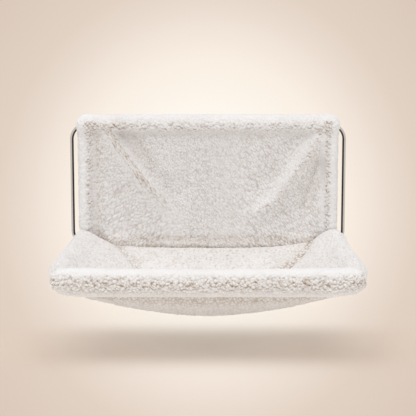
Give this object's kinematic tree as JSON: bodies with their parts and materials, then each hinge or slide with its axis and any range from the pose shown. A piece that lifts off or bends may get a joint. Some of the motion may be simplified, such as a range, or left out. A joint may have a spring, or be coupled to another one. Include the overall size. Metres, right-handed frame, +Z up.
{
  "type": "pet radiator bed",
  "caption": "Fleece pet hammock that hangs on a radiator: wire back frame with sliding hooks, fold-up wire seat frame, padded back panel, deep sling seat and a thick plush front roll.",
  "frame": {"origin": "on the radiator's top front edge, midway between the two hook arms", "axes": "+X along the bed to the right as seen from the room, +Y into the radiator, +Z up; the bed reaches out into the room along -Y"},
  "size_m": [0.492, 0.4215, 0.2993],
  "materials": {
    "frame_wire": "bright plated round wire",
    "plate_steel": "zinc plated",
    "fastener_steel": "bright zinc",
    "nylon": "natural nylon",
    "pad_rubber": "matt",
    "fleece": "off-white curly teddy fleece",
    "foam": "open-cell foam",
    "closure_tape": "hook-and-loop tape"
  },
  "bodies": {
    "frame": {"back_frame": "frame_wire", "left_bracket": "plate_steel", "right_bracket": "plate_steel", "pivot_bolts": "fastener_steel", "pivot_washers": "nylon", "pivot_nuts": "fastener_steel", "left_hook_arm": "plate_steel", "right_hook_arm": "plate_steel", "left_arm_pad": "pad_rubber", "right_arm_pad": "pad_rubber", "left_bumper": "pad_rubber", "right_bumper": "pad_rubber", "top_roll_cover": "fleece", "top_roll_core": "foam", "lower_hem": "fleece", "left_side_hem": "fleece", "right_side_hem": "fleece", "back_panel": "fleece", "closure_tapes": "closure_tape", "closure_flap": "fleece"},
    "seat": {"seat_frame": "frame_wire", "front_roll_cover": "fleece", "front_roll_core": "foam", "left_rail_sleeve": "fleece", "right_rail_sleeve": "fleece", "seat_sling": "fleece"},
    "left_hook": {"left_hook": "plate_steel", "left_hook_tip": "pad_rubber"},
    "right_hook": {"right_hook": "plate_steel", "right_hook_tip": "pad_rubber"},
    "left_screw": {"left_clamp_screw": "fastener_steel"},
    "right_screw": {"right_clamp_screw": "fastener_steel"}
  },
  "joints": [
    {"name": "seat_fold", "type": "hinge", "parent": "frame", "child": "seat", "pos_m": [0, -0.034, -0.1847], "axis": [-1, 0, 0], "range_deg": [0, 75]},
    {"name": "left_hook_slide", "type": "slide", "parent": "frame", "child": "left_hook", "axis": [0, 1, 0], "range_m": [-0.025, 0.025]},
    {"name": "right_hook_slide", "type": "slide", "parent": "frame", "child": "right_hook", "axis": [0, 1, 0], "range_m": [-0.025, 0.025]},
    {"name": "left_clamp_turn", "type": "hinge", "parent": "frame", "child": "left_screw", "pos_m": [-0.13, 0.042, 0.0113], "axis": [0, 0, 1], "continuous": true},
    {"name": "right_clamp_turn", "type": "hinge", "parent": "frame", "child": "right_screw", "pos_m": [0.13, 0.042, 0.0113], "axis": [0, 0, 1], "continuous": true}
  ]
}
